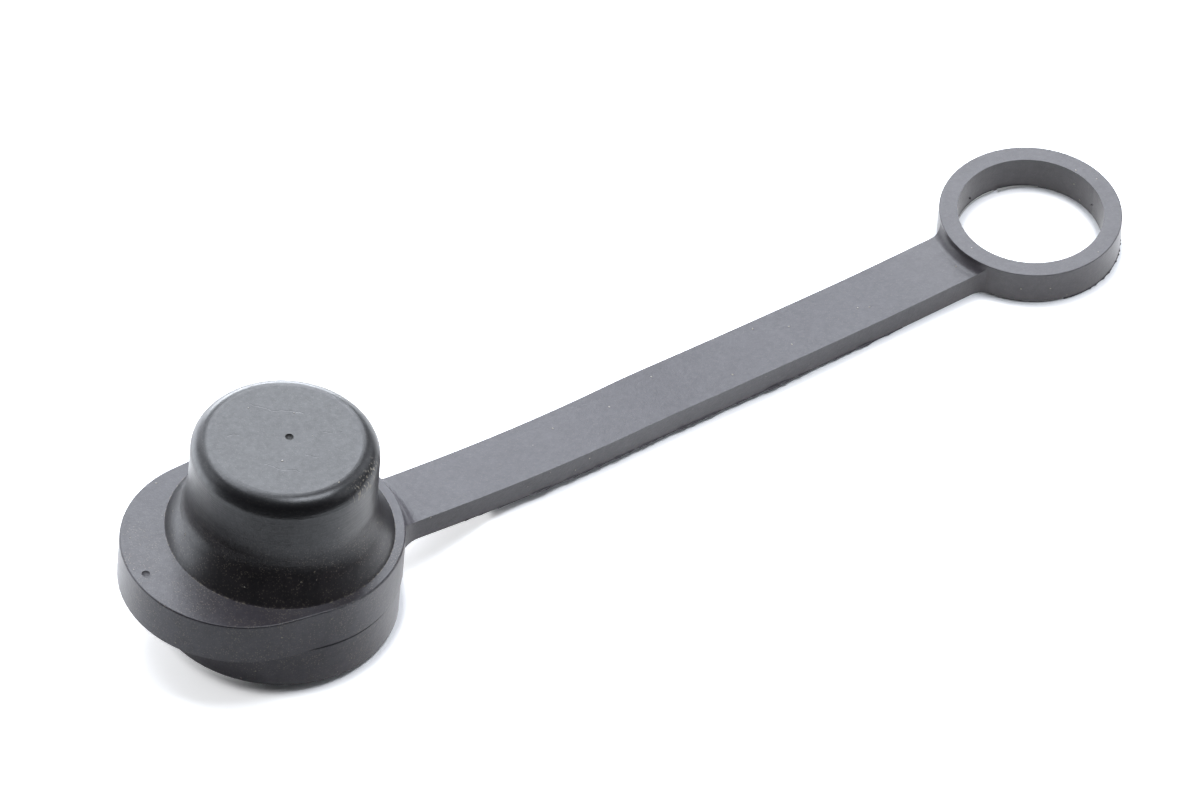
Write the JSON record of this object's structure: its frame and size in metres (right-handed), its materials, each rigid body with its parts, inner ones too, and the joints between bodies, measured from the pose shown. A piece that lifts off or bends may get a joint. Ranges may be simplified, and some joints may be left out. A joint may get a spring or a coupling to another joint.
{
  "type": "port dust cap",
  "caption": "Moulded rubber dust cap: hollow round boss on a flanged skirt with a pull tab, joined by a flexible strap to a retaining ring.",
  "frame": {"origin": "on the cap's axis at the plane of its mouth, where the skirt's rim rests on the table", "axes": "+Z along the cap's axis from the mouth to the crown, +X along the strap's root towards the ring, the pull tab towards -X"},
  "size_m": [0.171, 0.0458, 0.0319],
  "materials": {
    "rubber": "satin"
  },
  "bodies": {
    "root": {"dust_cap": "rubber"}
  },
  "joints": []
}
